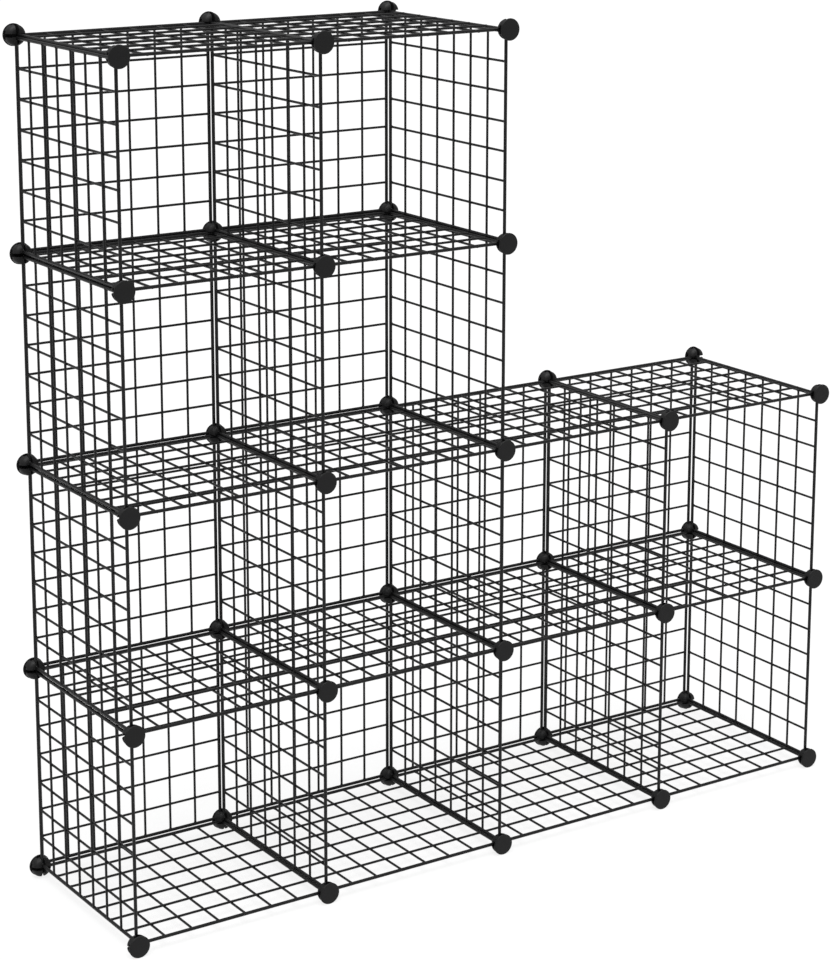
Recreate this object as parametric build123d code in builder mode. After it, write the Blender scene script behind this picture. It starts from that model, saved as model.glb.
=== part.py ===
from build123d import *
import os

os.makedirs("parts", exist_ok=True)

# Modular wire cube storage unit: square welded wire grid panels, held together at their
# corners by round moulded connectors. Every cube is open at the front.
# Frame: +X to the right, +Y to the back, +Z up. Origin: on the floor, in the middle of
# the unit's width and depth. Millimetres.

# ---- layout -------------------------------------------------------------------------
CUBE_HEIGHTS = [4, 4, 2, 2]  # cubes stacked in each column, left to right
PITCH = 300.0  # node to node, along X, Y and Z

# ---- grid panel ---------------------------------------------------------------------
RIM_WIRE = 4.75  # diameter of the rim wire, coating included
MESH_WIRE = 3.5  # diameter of the mesh wires, coating included
CELLS = 7  # mesh cells along each side of a panel
NODE_GAP = 3.45  # from a node line to the centreline of the rim wire beside it
GROOVE_OUT = 2.5  # from a node line out to the groove plane of its front or rear connector
RIM_BEND = 4.5  # bend radius of the rim's corners, at the centreline
MESH_LAYER = 1.1  # offset of each mesh layer from the panel's mid-plane, welds set down
SIDE = PITCH - 2 * NODE_GAP  # rim centreline to rim centreline
CELL = SIDE / CELLS

# ---- connector, heights measured outwards from its groove plane ----------------------
CAP_R = 15.5  # radius of the round cap
CAP_FACE = 5.0  # height of the cap's flat face
CAP_UNDER = 2.5  # height of the cap's underside
CAP_EDGE = 1.2  # radius of the cap's rounded edge
PRONG_R = 14.6  # radius of the four prongs' outside
PRONG_SHOULDER = -3.0  # height where the prongs start to round inwards
PRONG_END = -11.5  # height of the prongs' ends
PRONG_END_R = 8.7  # radius of the prongs' outside at their ends
SLOT = 4.85  # width of the crossed slots that take panels square to the cap
GROOVE = 5.0  # height of the groove that takes a panel parallel to the cap
STEM = 5.9  # from the slots' centre to the stems that join the prongs to the cap
STEM_CORNER = 2.2  # radius of each stem's inner corner, inside the rim's bend
WALL = 1.4  # wall left around the pocket in each prong
POCKET_FLOOR = -3.8  # height of the pockets' floors

# ---- derived places -----------------------------------------------------------------
COLUMNS = len(CUBE_HEIGHTS)
LEVELS = max(CUBE_HEIGHTS) + 1
FRONT_Y = -PITCH / 2 - GROOVE_OUT  # groove plane of the front connectors
REAR_Y = PITCH / 2 + GROOVE_OUT  # groove plane of the rear connectors, and of the back panels


def node_x(line):
    return (line - COLUMNS / 2) * PITCH


def node_z(level):
    return CAP_R + level * PITCH


def line_height(line):
    """Number of cubes that a vertical node line runs up beside."""
    return max(CUBE_HEIGHTS[max(line - 1, 0) : line + 1])


# ---- the grid panel, centred on its mid-plane XY --------------------------------------
mesh_places = [(n - CELLS / 2 + 1) * CELL for n in range(CELLS - 1)]
straight = SIDE / 2 - RIM_BEND  # half length of each straight run of the rim

with BuildPart() as grid_panel:
    # rim: straight runs along X, then along Y
    with BuildSketch(Plane.YZ.offset(-straight)) as runs_x:
        with Locations((-SIDE / 2, 0), (SIDE / 2, 0)):
            Circle(RIM_WIRE / 2)
    extrude(amount=2 * straight)
    with BuildSketch(Plane.XZ.offset(-straight)) as runs_y:
        with Locations((-SIDE / 2, 0), (SIDE / 2, 0)):
            Circle(RIM_WIRE / 2)
    extrude(amount=2 * straight)
    # rim: the four quarter bends that join the runs
    for turn in range(4):
        bend_plane = Plane.XY.rotated((0, 0, 90 * turn))
        centre = bend_plane.from_local_coords(Vector(straight, straight, 0))
        section = Plane(
            origin=centre,
            x_dir=bend_plane.x_dir,
            z_dir=-bend_plane.y_dir,
        )
        with BuildSketch(section) as bend_section:
            with Locations((RIM_BEND, 0)):
                Circle(RIM_WIRE / 2)
        revolve(axis=Axis(centre, (0, 0, 1)), revolution_arc=90)
    # mesh wires along X, in the upper layer, welded into the rim at both ends
    with BuildSketch(Plane.YZ.offset(-SIDE / 2)) as upper_layer:
        with Locations(*[(y, MESH_LAYER) for y in mesh_places]):
            Circle(MESH_WIRE / 2)
    extrude(amount=SIDE)
    # mesh wires along Y, in the lower layer, welded to the upper layer and to the rim
    with BuildSketch(Plane.XZ.offset(-SIDE / 2)) as lower_layer:
        with Locations(*[(x, -MESH_LAYER) for x in mesh_places]):
            Circle(MESH_WIRE / 2)
    extrude(amount=SIDE)

print("grid panel: solids", len(grid_panel.part.solids()), "volume", round(grid_panel.part.volume, 1))
print("grid panel: size", grid_panel.part.bounding_box().size)

# ---- the pockets moulded into the prongs' ends -----------------------------------------
with BuildPart() as pockets:
    with BuildSketch(Plane.XZ) as pocket_profile:
        with BuildLine() as pocket_line:
            inner_r = PRONG_R - WALL
            Line((0, POCKET_FLOOR), (inner_r, POCKET_FLOOR))
            ThreePointArc(
                (inner_r, POCKET_FLOOR),
                (inner_r - 1.35, PRONG_SHOULDER - 4.9),
                (PRONG_END_R - WALL + 0.2, PRONG_END),
            )
            Polyline(
                (PRONG_END_R - WALL + 0.2, PRONG_END),
                (PRONG_END_R - WALL + 0.2, PRONG_END - 2),
                (0, PRONG_END - 2),
                (0, POCKET_FLOOR),
            )
        make_face()
    revolve(axis=Axis.Z)
    pocket_side = 12.0
    pocket_near = SLOT / 2 + WALL
    pocket_mid = pocket_near + pocket_side / 2
    with BuildSketch(Plane.XY.offset(PRONG_END - 3)) as pocket_quarters:
        with Locations(*[(sx * pocket_mid, sy * pocket_mid) for sx in (-1, 1) for sy in (-1, 1)]):
            RectangleRounded(pocket_side, pocket_side, 1.2)
    extrude(amount=POCKET_FLOOR - PRONG_END + 3, mode=Mode.INTERSECT)

# ---- the connector, axis along Z, cap upwards, groove plane at Z = 0 --------------------
with BuildPart() as connector:
    # round cap with a rounded edge
    with BuildSketch(Plane.XY.offset(CAP_UNDER)) as cap_disc:
        Circle(CAP_R)
    extrude(amount=CAP_FACE - CAP_UNDER)
    fillet(connector.edges().group_by(Axis.Z)[-1], CAP_EDGE)
    # prongs: a rounded stub under the cap, still in one piece
    with BuildSketch(Plane.XZ) as prong_profile:
        with BuildLine() as prong_line:
            Polyline((0, PRONG_END), (0, CAP_UNDER), (PRONG_R, CAP_UNDER), (PRONG_R, PRONG_SHOULDER))
            TangentArc((PRONG_R, PRONG_SHOULDER), (PRONG_END_R, PRONG_END), tangent=(0, -1))
            Line((PRONG_END_R, PRONG_END), (0, PRONG_END))
        make_face()
    revolve(axis=Axis.Z)
    # crossed slots, from the prongs' ends up to the cap
    with BuildSketch(Plane.XY.offset(CAP_UNDER)) as crossed_slots:
        Rectangle(2 * CAP_R + 2, SLOT)
        Rectangle(SLOT, 2 * CAP_R + 2)
    extrude(amount=-(CAP_UNDER - PRONG_END + 1), mode=Mode.SUBTRACT)
    # groove under the cap, around the four stems
    with BuildSketch(Plane.XY.offset(CAP_UNDER)) as groove_area:
        Circle(CAP_R + 1)
        stem_side = 12.0
        stem_mid = STEM + stem_side / 2
        with Locations(*[(sx * stem_mid, sy * stem_mid) for sx in (-1, 1) for sy in (-1, 1)]):
            RectangleRounded(stem_side, stem_side, STEM_CORNER, mode=Mode.SUBTRACT)
    extrude(amount=-GROOVE, mode=Mode.SUBTRACT)
    # pocket in each prong
    add(pockets.part, mode=Mode.SUBTRACT)

print("connector: solids", len(connector.part.solids()), "volume", round(connector.part.volume, 1))
print("connector: size", connector.part.bounding_box().size)


# ---- the assembly ---------------------------------------------------------------------
written = []


def write_panel(name, plane):
    with BuildPart() as panel:
        with Locations(Location(plane)):
            add(grid_panel.part)
    panel.part.label = name
    export_step(panel.part, f"parts/{name}.step", write_pcurves=False)
    written.append(name)


def lying(x, z):
    return Plane(origin=(x, 0, z), x_dir=(1, 0, 0), z_dir=(0, 0, 1))


def upright(x, z):
    return Plane(origin=(x, 0, z), x_dir=(0, 1, 0), z_dir=(1, 0, 0))


def behind(x, z):
    return Plane(origin=(x, REAR_Y, z), x_dir=(1, 0, 0), z_dir=(0, -1, 0))


# bottoms, shelves and tops: one lying panel at every level of every column
for column, height in enumerate(CUBE_HEIGHTS):
    for level in range(height + 1):
        kind = "bottom" if level == 0 else "top" if level == height else f"shelf{level}"
        write_panel(f"{kind}_panel_col{column + 1}", lying(node_x(column + 0.5), node_z(level)))

# sides and dividers: one upright panel beside every cube
for line in range(COLUMNS + 1):
    for row in range(line_height(line)):
        cube_left = line > 0 and row < CUBE_HEIGHTS[line - 1]
        cube_right = line < COLUMNS and row < CUBE_HEIGHTS[line]
        if cube_left and cube_right:
            name = f"divider_panel_col{line}_col{line + 1}_row{row + 1}"
        elif cube_right:
            name = f"left_side_panel_row{row + 1}"
        else:
            name = f"right_side_panel_row{row + 1}"
        write_panel(name, upright(node_x(line), node_z(row + 0.5)))

# back panels: one behind every cube
for column, height in enumerate(CUBE_HEIGHTS):
    for row in range(height):
        write_panel(
            f"back_panel_col{column + 1}_row{row + 1}",
            behind(node_x(column + 0.5), node_z(row + 0.5)),
        )

# connectors: one at every node of the front and of the rear, one group to a level
for side, groove_y, outward in (("front", FRONT_Y, (0, -1, 0)), ("rear", REAR_Y, (0, 1, 0))):
    for level in range(LEVELS):
        places = [
            Location(Plane(origin=(node_x(line), groove_y, node_z(level)), x_dir=(1, 0, 0), z_dir=outward))
            for line in range(COLUMNS + 1)
            if line_height(line) >= level
        ]
        with BuildPart() as connector_group:
            with Locations(*places):
                add(connector.part)
        name = f"{side}_connectors_level{level}"
        connector_group.part.label = name
        export_step(connector_group.part, f"parts/{name}.step")
        written.append(name)

print(len(written), "nodes")
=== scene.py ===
import math
import re

import bmesh
import bpy
from mathutils import Matrix, Vector


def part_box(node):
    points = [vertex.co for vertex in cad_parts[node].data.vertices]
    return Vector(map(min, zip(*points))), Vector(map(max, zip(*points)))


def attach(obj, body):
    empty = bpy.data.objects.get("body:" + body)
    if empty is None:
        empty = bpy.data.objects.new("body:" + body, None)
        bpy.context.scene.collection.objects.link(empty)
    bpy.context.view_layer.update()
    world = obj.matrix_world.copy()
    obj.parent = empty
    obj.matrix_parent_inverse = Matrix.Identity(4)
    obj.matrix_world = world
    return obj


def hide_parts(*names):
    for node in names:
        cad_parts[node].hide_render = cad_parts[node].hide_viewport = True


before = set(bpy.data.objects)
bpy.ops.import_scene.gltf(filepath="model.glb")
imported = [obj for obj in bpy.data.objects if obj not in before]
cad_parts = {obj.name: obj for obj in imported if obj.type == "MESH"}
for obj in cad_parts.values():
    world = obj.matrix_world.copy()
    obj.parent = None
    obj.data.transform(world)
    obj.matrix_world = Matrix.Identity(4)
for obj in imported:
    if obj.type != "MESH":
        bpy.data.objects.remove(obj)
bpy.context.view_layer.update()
scene = bpy.context.scene
nodes = sorted(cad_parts)
MM = 0.001

# ---------------------------------------------------------------- sizes, read off the frame
first_lo, first_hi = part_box("bottom_panel_col1")
RIM_R = 2.375 * MM
SIDE = (first_hi.x - first_lo.x) - 2 * RIM_R
CELLS = 7
CELL = SIDE / CELLS
MESH_R = 1.75 * MM
LAYER = (first_hi.z - first_lo.z) / 2 - MESH_R
BEND = 4.5 * MM
PLACES = [(n - CELLS / 2 + 1) * CELL for n in range(CELLS - 1)]

RIM_SEGS = 24
WIRE_SEGS = 14
BEND_STEPS = 9


# ---------------------------------------------------------------- mesh helpers
def new_mesh(name, bm, smooth_angle=None):
    bmesh.ops.recalc_face_normals(bm, faces=bm.faces)
    for f in bm.faces:
        f.smooth = True
    if smooth_angle is not None:
        for e in bm.edges:
            if len(e.link_faces) == 2 and e.calc_face_angle(0.0) > smooth_angle:
                e.smooth = False
    mesh = bpy.data.meshes.new(name)
    bm.to_mesh(mesh)
    bm.free()
    return mesh


def add_rings(bm, rings, closed_path=False, cap=True):
    """Skins a list of rings, each a list of points, into a tube."""
    made = [[bm.verts.new(p) for p in ring] for ring in rings]
    n = len(made[0])
    pairs = list(zip(made, made[1:]))
    if closed_path:
        pairs.append((made[-1], made[0]))
    for a, b in pairs:
        for i in range(n):
            j = (i + 1) % n
            bm.faces.new((a[i], a[j], b[j], b[i]))
    if cap and not closed_path:
        bm.faces.new(made[0])
        bm.faces.new(list(reversed(made[-1])))


def rim_rings():
    """Rings round the rim's rounded square, which lies on XY."""
    straight = SIDE / 2 - BEND
    rings = []
    for turn in range(4):
        base = turn * math.pi / 2
        spin = Matrix.Rotation(base, 3, "Z")
        centre = spin @ Vector((straight, straight, 0))
        for step in range(BEND_STEPS + 1):
            a = base + step / BEND_STEPS * math.pi / 2
            out = Vector((math.cos(a), math.sin(a), 0))
            mid = centre + out * BEND
            rings.append(
                [
                    mid
                    + out * (RIM_R * math.cos(t))
                    + Vector((0, 0, RIM_R * math.sin(t)))
                    for t in (2 * math.pi * k / RIM_SEGS for k in range(RIM_SEGS))
                ]
            )
    return rings


def wire_rings(along, across, place, height):
    """Rings of one straight mesh wire, flared a little where it is welded to the rim."""
    end = SIDE / 2
    surface = end - math.sqrt(RIM_R**2 - (abs(height)) ** 2)  # where it enters the rim
    stations = [
        (end + 0.50 * MM, 0.50),
        (end + 0.35 * MM, 0.80),
        (end, 1.02),
        (end - 0.9 * MM, 1.22),
        (surface - 0.05 * MM, 1.36),
        (surface - 0.25 * MM, 1.20),
        (surface - 0.60 * MM, 1.09),
        (surface - 1.10 * MM, 1.02),
        (surface - 1.70 * MM, 1.0),
    ]
    full = stations + [(-s, g) for s, g in reversed(stations)]
    rings = []
    for s, grow in full:
        ring = []
        for k in range(WIRE_SEGS):
            t = 2 * math.pi * (k + 0.5) / WIRE_SEGS
            side = MESH_R * grow * math.cos(t)
            up = height + MESH_R * min(grow, 1.30) * math.sin(t)
            limit = abs(height) + MESH_R
            up = max(-limit, min(limit, up))
            ring.append(along * s + across * (place + side) + Vector((0, 0, up)))
        rings.append(ring)
    return rings


def add_weld(bm, x, y):
    """The small squashed bead that a spot weld leaves between two crossing wires."""
    around, rows = 12, 5
    r_flat, r_high = 2.45 * MM, 0.95 * MM
    top = bm.verts.new((x, y, r_high))
    low = bm.verts.new((x, y, -r_high))
    rings = []
    for j in range(1, rows):
        lat = math.pi / 2 - math.pi * j / rows
        rings.append(
            [
                bm.verts.new(
                    (
                        x + r_flat * math.cos(lat) * math.cos(2 * math.pi * k / around),
                        y + r_flat * math.cos(lat) * math.sin(2 * math.pi * k / around),
                        r_high * math.sin(lat),
                    )
                )
                for k in range(around)
            ]
        )
    for k in range(around):
        m = (k + 1) % around
        bm.faces.new((top, rings[0][k], rings[0][m]))
        bm.faces.new((low, rings[-1][m], rings[-1][k]))
        for a, b in zip(rings, rings[1:]):
            bm.faces.new((a[k], b[k], b[m], a[m]))


def panel_mesh():
    bm = bmesh.new()
    add_rings(bm, rim_rings(), closed_path=True)
    for place in PLACES:
        add_rings(bm, wire_rings(Vector((1, 0, 0)), Vector((0, 1, 0)), place, LAYER))
        add_rings(bm, wire_rings(Vector((0, 1, 0)), Vector((1, 0, 0)), place, -LAYER))
    for x in PLACES:
        for y in PLACES:
            add_weld(bm, x, y)
    return new_mesh("grid_panel", bm, math.radians(50))


# ---------------------------------------------------------------- the connector
PRONG_R, SHOULDER, PRONG_END, PRONG_END_R = 14.6, -3.0, -11.5, 8.7
row_lo, row_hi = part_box("front_connectors_level0")
CAP_R, CAP_UNDER, CAP_EDGE = 15.5, 2.5, 1.2
CAP_FACE = (row_hi.y - row_lo.y) / MM + PRONG_END
SLOT, GROOVE, STEM, STEM_CORNER, WALL, POCKET_FLOOR = 4.85, 5.0, 5.9, 2.2, 1.4, -3.8
ROUND = 72


def arc(cx, cz, r, a0, a1, steps):
    return [
        (
            cx + r * math.cos(math.radians(a0 + (a1 - a0) * i / steps)),
            cz + r * math.sin(math.radians(a0 + (a1 - a0) * i / steps)),
        )
        for i in range(steps + 1)
    ]


def revolved(profile, steps=ROUND):
    """A closed solid of revolution about Z from (r, z) points that start and end on the axis."""
    bm = bmesh.new()
    top = bm.verts.new((0, 0, profile[0][1] * MM))
    low = bm.verts.new((0, 0, profile[-1][1] * MM))
    rings = [
        [
            bm.verts.new(
                (
                    r * MM * math.cos(2 * math.pi * (k + 0.5) / steps),
                    r * MM * math.sin(2 * math.pi * (k + 0.5) / steps),
                    z * MM,
                )
            )
            for k in range(steps)
        ]
        for r, z in profile[1:-1]
    ]
    for k in range(steps):
        m = (k + 1) % steps
        bm.faces.new((top, rings[0][k], rings[0][m]))
        bm.faces.new((low, rings[-1][m], rings[-1][k]))
        for a, b in zip(rings, rings[1:]):
            bm.faces.new((a[k], b[k], b[m], a[m]))
    bmesh.ops.recalc_face_normals(bm, faces=bm.faces)
    return bm


def prism(outline, z0, z1):
    """A closed prism over an outline in millimetres."""
    bm = bmesh.new()
    low = [bm.verts.new((x * MM, y * MM, z0 * MM)) for x, y in outline]
    high = [bm.verts.new((x * MM, y * MM, z1 * MM)) for x, y in outline]
    bm.faces.new(list(reversed(low)))
    bm.faces.new(high)
    n = len(outline)
    for i in range(n):
        j = (i + 1) % n
        bm.faces.new((low[i], low[j], high[j], high[i]))
    bmesh.ops.recalc_face_normals(bm, faces=bm.faces)
    return bm


def as_object(bm, name):
    mesh = bpy.data.meshes.new(name)
    bm.to_mesh(mesh)
    bm.free()
    obj = bpy.data.objects.new(name, mesh)
    scene.collection.objects.link(obj)
    return obj


def cut(target, tool, how="DIFFERENCE"):
    mod = target.modifiers.new("cut", "BOOLEAN")
    mod.operation = how
    mod.object = tool
    mod.solver = "EXACT"
    bpy.context.view_layer.update()
    depsgraph = bpy.context.evaluated_depsgraph_get()
    mesh = bpy.data.meshes.new_from_object(target.evaluated_get(depsgraph), depsgraph=depsgraph)
    target.modifiers.remove(mod)
    old = target.data
    target.data = mesh
    bpy.data.meshes.remove(old)
    bpy.data.objects.remove(tool)


def rounded_box(x0, y0, x1, y1, r, steps=6):
    out = []
    for cx, cy, a in ((x1 - r, y1 - r, 0), (x0 + r, y1 - r, 90), (x0 + r, y0 + r, 180), (x1 - r, y0 + r, 270)):
        out += [
            (cx + r * math.cos(math.radians(a + 90 * i / steps)), cy + r * math.sin(math.radians(a + 90 * i / steps)))
            for i in range(steps + 1)
        ]
    return out


def connector_mesh():
    shoulder_r = ((PRONG_R - PRONG_END_R) ** 2 + (SHOULDER - PRONG_END) ** 2) / (2 * (PRONG_R - PRONG_END_R))
    lowest = -math.degrees(math.asin((SHOULDER - PRONG_END) / shoulder_r))
    profile = [(0, CAP_FACE), (6.0, CAP_FACE), (11.0, CAP_FACE)]
    profile += arc(CAP_R - CAP_EDGE, CAP_FACE - CAP_EDGE, CAP_EDGE, 90, 0, 6)
    profile += arc(CAP_R - 0.35, CAP_UNDER + 0.35, 0.35, 0, -90, 3)
    profile += [(PRONG_R, CAP_UNDER), (PRONG_R, 0.0)]
    profile += arc(PRONG_R - shoulder_r, SHOULDER, shoulder_r, 0, lowest, 12)
    profile += [(0, PRONG_END)]
    body = as_object(revolved(profile), "connector_form")
    long = CAP_R + 3
    half = SLOT / 2
    cut(body, as_object(prism([(-long, -half), (long, -half), (long, half), (-long, half)], PRONG_END - 2, CAP_UNDER), "slot_a"))
    cut(body, as_object(prism([(-half, -long), (half, -long), (half, long), (-half, long)], PRONG_END - 2, CAP_UNDER), "slot_b"))
    # groove round the four stems: its floor is the cap's underside
    ring = as_object(
        prism(
            [(19 * math.cos(2 * math.pi * k / 64), 19 * math.sin(2 * math.pi * k / 64)) for k in range(64)],
            CAP_UNDER - GROOVE,
            CAP_UNDER,
        ),
        "groove",
    )
    for sx in (-1, 1):
        for sy in (-1, 1):
            x0, x1 = sorted((sx * STEM, sx * (STEM + 22)))
            y0, y1 = sorted((sy * STEM, sy * (STEM + 22)))
            cut(ring, as_object(prism(rounded_box(x0, y0, x1, y1, STEM_CORNER), CAP_UNDER - GROOVE - 3, CAP_UNDER + 3), "stem"))
    cut(body, ring)
    # pocket in each prong
    near = SLOT / 2 + WALL
    floor_r = PRONG_R - WALL
    pocket_profile = [(0, POCKET_FLOOR), (floor_r, POCKET_FLOOR)]
    pocket_profile += arc(floor_r - shoulder_r + 0.6, SHOULDER - 0.6, shoulder_r - 0.6, 0, lowest, 12)
    last_r = pocket_profile[-1][0]
    pocket_profile += [(last_r, PRONG_END - 3), (0, PRONG_END - 3)]
    for sx in (-1, 1):
        for sy in (-1, 1):
            pocket = as_object(revolved(pocket_profile), "pocket")
            x0, x1 = sorted((sx * near, sx * 20))
            y0, y1 = sorted((sy * near, sy * 20))
            cut(pocket, as_object(prism(rounded_box(x0, y0, x1, y1, 1.2, 4), PRONG_END - 5, POCKET_FLOOR + 1), "quarter"), "INTERSECT")
            cut(body, pocket)
    # small moulded radii on every edge
    bm = bmesh.new()
    bm.from_mesh(body.data)
    bmesh.ops.remove_doubles(bm, verts=bm.verts, dist=0.01 * MM)
    bmesh.ops.dissolve_degenerate(bm, edges=bm.edges, dist=0.01 * MM)
    bm.to_mesh(body.data)
    bm.free()
    bevel = body.modifiers.new("radii", "BEVEL")
    bevel.width = 0.28 * MM
    bevel.segments = 2
    bevel.limit_method = "ANGLE"
    bevel.angle_limit = math.radians(38)
    bevel.use_clamp_overlap = True
    bpy.context.view_layer.update()
    depsgraph = bpy.context.evaluated_depsgraph_get()
    mesh = bpy.data.meshes.new_from_object(body.evaluated_get(depsgraph), depsgraph=depsgraph)
    bpy.data.objects.remove(body)
    bm = bmesh.new()
    bm.from_mesh(mesh)
    bpy.data.meshes.remove(mesh)
    return new_mesh("connector", bm, math.radians(40))


# ---------------------------------------------------------------- materials
def shader(name):
    mat = bpy.data.materials.new(name)
    mat.use_nodes = True
    tree = mat.node_tree
    tree.nodes.clear()
    out = tree.nodes.new("ShaderNodeOutputMaterial")
    bsdf = tree.nodes.new("ShaderNodeBsdfPrincipled")
    tree.links.new(bsdf.outputs["BSDF"], out.inputs["Surface"])
    coord = tree.nodes.new("ShaderNodeTexCoord")
    return mat, tree, bsdf, coord.outputs["Object"]


def noise(tree, coord, scale, detail=3.0, rough=0.5):
    n = tree.nodes.new("ShaderNodeTexNoise")
    n.inputs["Scale"].default_value = scale
    n.inputs["Detail"].default_value = detail
    n.inputs["Roughness"].default_value = rough
    tree.links.new(coord, n.inputs["Vector"])
    return n.outputs["Fac"]


def ramp(tree, source, stops):
    r = tree.nodes.new("ShaderNodeValToRGB")
    tree.links.new(source, r.inputs["Fac"])
    while len(r.color_ramp.elements) < len(stops):
        r.color_ramp.elements.new(0.5)
    for element, (pos, colour) in zip(r.color_ramp.elements, stops):
        element.position = pos
        element.color = (*colour, 1.0) if not isinstance(colour, float) else (colour, colour, colour, 1.0)
    return r.outputs["Color"]


def remap(tree, source, low, high, from_low=0.3, from_high=0.7):
    m = tree.nodes.new("ShaderNodeMapRange")
    m.inputs["From Min"].default_value = from_low
    m.inputs["From Max"].default_value = from_high
    m.inputs["To Min"].default_value = low
    m.inputs["To Max"].default_value = high
    tree.links.new(source, m.inputs["Value"])
    return m.outputs["Result"]


def bump(tree, source, distance, strength=1.0, under=None):
    b = tree.nodes.new("ShaderNodeBump")
    b.inputs["Distance"].default_value = distance
    b.inputs["Strength"].default_value = strength
    tree.links.new(source, b.inputs["Height"])
    if under is not None:
        tree.links.new(under, b.inputs["Normal"])
    return b.outputs["Normal"]


def powder_coat():
    """Semi-gloss black powder coat on steel wire: faint orange peel, slight tone and gloss changes, a few pale scuffs."""
    mat, tree, bsdf, coord = shader("black_powder_coat")
    broad = noise(tree, coord, 9.0, 2.0)
    tone = ramp(tree, broad, [(0.30, (0.0040, 0.0040, 0.0043)), (0.55, (0.0054, 0.0054, 0.0057)), (0.78, (0.0074, 0.0073, 0.0072))])
    speck = noise(tree, coord, 420.0, 2.0, 0.6)
    scuff = remap(tree, speck, 0.0, 1.0, 0.70, 0.80)
    mix = tree.nodes.new("ShaderNodeMix")
    mix.data_type = "RGBA"
    tree.links.new(scuff, mix.inputs["Factor"])
    tree.links.new(tone, mix.inputs["A"])
    mix.inputs["B"].default_value = (0.018, 0.018, 0.0185, 1.0)
    tree.links.new(mix.outputs["Result"], bsdf.inputs["Base Color"])
    gloss = noise(tree, coord, 60.0, 3.0)
    tree.links.new(remap(tree, gloss, 0.30, 0.42), bsdf.inputs["Roughness"])
    peel = noise(tree, coord, 900.0, 1.5)
    runs = noise(tree, coord, 160.0, 1.0)
    tree.links.new(bump(tree, runs, 0.00009, 0.5, bump(tree, peel, 0.00003, 0.5)), bsdf.inputs["Normal"])
    bsdf.inputs["Specular IOR Level"].default_value = 0.21
    bsdf.inputs["Metallic"].default_value = 0.0
    return mat


def moulded_plastic():
    """Satin black moulded plastic: fine spark-eroded texture, faint flow tone and handling gloss."""
    mat, tree, bsdf, coord = shader("black_moulded_plastic")
    flow = noise(tree, coord, 70.0, 3.0)
    tone = ramp(tree, flow, [(0.30, (0.0048, 0.0048, 0.0050)), (0.60, (0.0062, 0.0062, 0.0064)), (0.80, (0.0082, 0.0081, 0.0080))])
    tree.links.new(tone, bsdf.inputs["Base Color"])
    handled = noise(tree, coord, 130.0, 3.0, 0.6)
    tree.links.new(remap(tree, handled, 0.46, 0.60), bsdf.inputs["Roughness"])
    grain = noise(tree, coord, 1500.0, 2.0)
    tree.links.new(bump(tree, grain, 0.00003, 0.45), bsdf.inputs["Normal"])
    bsdf.inputs["Specular IOR Level"].default_value = 0.20
    return mat


coat = powder_coat()
plastic = moulded_plastic()


# ---------------------------------------------------------------- the object's pieces
def place(name, mesh, matrix, node, slot):
    obj = bpy.data.objects.new(name, mesh)
    scene.collection.objects.link(obj)
    obj.matrix_world = matrix
    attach(obj, "root")
    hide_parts(node)
    return obj


def axes(x_dir, y_dir, z_dir, origin):
    m = Matrix((x_dir, y_dir, z_dir)).transposed().to_4x4()
    m.translation = origin
    return m


X, Y, Z = Vector((1, 0, 0)), Vector((0, 1, 0)), Vector((0, 0, 1))
grid = panel_mesh()
grid.materials.append(coat)
clip = connector_mesh()
clip.materials.append(plastic)

for node in nodes:
    if "connectors" in node:
        continue
    lo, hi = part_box(node)
    middle, extent = (lo + hi) / 2, hi - lo
    thin = min(range(3), key=lambda i: extent[i])
    if thin == 2:
        matrix = axes(X, Y, Z, middle)
    elif thin == 0:
        matrix = axes(Y, Z, X, middle)
    else:
        matrix = axes(X, Z, -Y, middle)
    place("wire_" + node, grid, matrix, node, "wire")

for node in nodes:
    if "connectors" not in node:
        continue
    lo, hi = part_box(node)
    front = "front" in node
    reach = CAP_R * MM
    count = round((hi.x - lo.x - 2 * reach) / 0.3) + 1
    pitch = (hi.x - lo.x - 2 * reach) / (count - 1)
    face_y = lo.y if front else hi.y
    groove_y = face_y + CAP_FACE * MM if front else face_y - CAP_FACE * MM
    level = re.search(r"level(\d)", node).group(1)
    for n in range(count):
        origin = Vector((lo.x + reach + n * pitch, groove_y, (lo.z + hi.z) / 2))
        matrix = axes(X, Z, -Y, origin) if front else axes(-X, Z, Y, origin)
        place(f"{'front' if front else 'rear'}_connector_level{level}_{n + 1}", clip, matrix, node, "connector")

# ---------------------------------------------------------------- floor and light
bm = bmesh.new()
bmesh.ops.create_grid(bm, x_segments=1, y_segments=1, size=14.0)
floor_mesh = bpy.data.meshes.new("floor")
bm.to_mesh(floor_mesh)
bm.free()
floor = bpy.data.objects.new("floor", floor_mesh)
scene.collection.objects.link(floor)
fmat, ftree, fbsdf, fcoord = shader("pale_floor")
fbsdf.inputs["Base Color"].default_value = (0.12, 0.12, 0.12, 1.0)
fbsdf.inputs["Emission Color"].default_value = (1.0, 1.0, 1.0, 1.0)
fbsdf.inputs["Emission Strength"].default_value = 0.84
fbsdf.inputs["Roughness"].default_value = 0.9
fbsdf.inputs["Specular IOR Level"].default_value = 0.0
floor_mesh.materials.append(fmat)

world = bpy.data.worlds.new("studio")
scene.world = world
world.use_nodes = True
wt = world.node_tree
background = next(n for n in wt.nodes if n.type == "BACKGROUND")
world_out = next(n for n in wt.nodes if n.type == "OUTPUT_WORLD")
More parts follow.
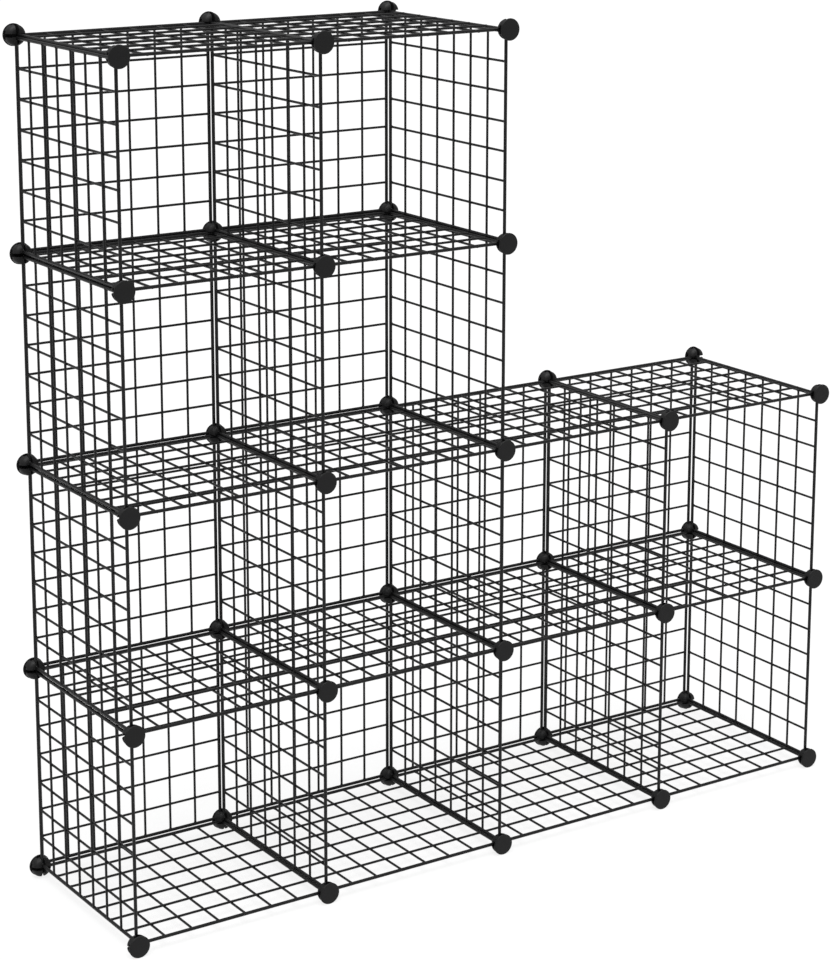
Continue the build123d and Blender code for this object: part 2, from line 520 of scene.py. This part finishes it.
# the room: a bright ceiling over dimmer walls
sky_coord = wt.nodes.new("ShaderNodeTexCoord")
sky_split = wt.nodes.new("ShaderNodeSeparateXYZ")
wt.links.new(sky_coord.outputs["Generated"], sky_split.inputs["Vector"])
sky_ramp = wt.nodes.new("ShaderNodeValToRGB")
wt.links.new(sky_split.outputs["Z"], sky_ramp.inputs["Fac"])
sky_ramp.color_ramp.elements[0].position = 0.05
sky_ramp.color_ramp.elements[0].color = (0.30, 0.30, 0.30, 1.0)
sky_ramp.color_ramp.elements[1].position = 0.85
sky_ramp.color_ramp.elements[1].color = (1.0, 1.0, 1.0, 1.0)
wt.links.new(sky_ramp.outputs["Color"], background.inputs["Color"])
background.inputs["Strength"].default_value = 1.0
# the backdrop itself is plain white
backdrop = wt.nodes.new("ShaderNodeBackground")
backdrop.inputs["Color"].default_value = (1.0, 1.0, 1.0, 1.0)
backdrop.inputs["Strength"].default_value = 1.0
ray = wt.nodes.new("ShaderNodeLightPath")
pick = wt.nodes.new("ShaderNodeMixShader")
wt.links.new(ray.outputs["Is Camera Ray"], pick.inputs[0])
wt.links.new(background.outputs[0], pick.inputs[1])
wt.links.new(backdrop.outputs[0], pick.inputs[2])
wt.links.new(pick.outputs[0], world_out.inputs["Surface"])

# one broad soft light, high up and a little to the front left
sun_data = bpy.data.lights.new("soft_top_light", "SUN")
sun_data.energy = 3.5
sun_data.angle = math.radians(46)
sun = bpy.data.objects.new("soft_top_light", sun_data)
scene.collection.objects.link(sun)
sun.rotation_mode = "QUATERNION"
sun.rotation_quaternion = Vector((0.18, 0.22, -1.0)).to_track_quat("-Z", "Y")

# ---------------------------------------------------------------- camera
heading, tilt = math.radians(33.5423), math.radians(-11.9026)
forward = Vector((math.cos(tilt) * math.sin(heading), math.cos(tilt) * math.cos(heading), math.sin(tilt)))
level_right = forward.cross(Z).normalized()
level_up = level_right.cross(forward)
roll = math.radians(0.0493)
right = level_right * math.cos(roll) + level_up * math.sin(roll)
up = right.cross(forward)
camera_data = bpy.data.cameras.new("camera")
camera = bpy.data.objects.new("camera", camera_data)
scene.collection.objects.link(camera)
m = Matrix((right, up, -forward)).transposed().to_4x4()
m.translation = Vector((-2.0420, -3.0000, 1.5804))
camera.matrix_world = m
camera_data.sensor_fit = "AUTO"
camera_data.sensor_width = 36.0
camera_data.lens = 2544.2 / 960 * 36.0
camera_data.shift_x = 0.0
camera_data.shift_y = (294.5 - 480.0) / 960
camera_data.clip_start, camera_data.clip_end = 0.05, 100.0
scene.camera = camera

scene.view_settings.view_transform = "Standard"
scene.view_settings.look = "None"
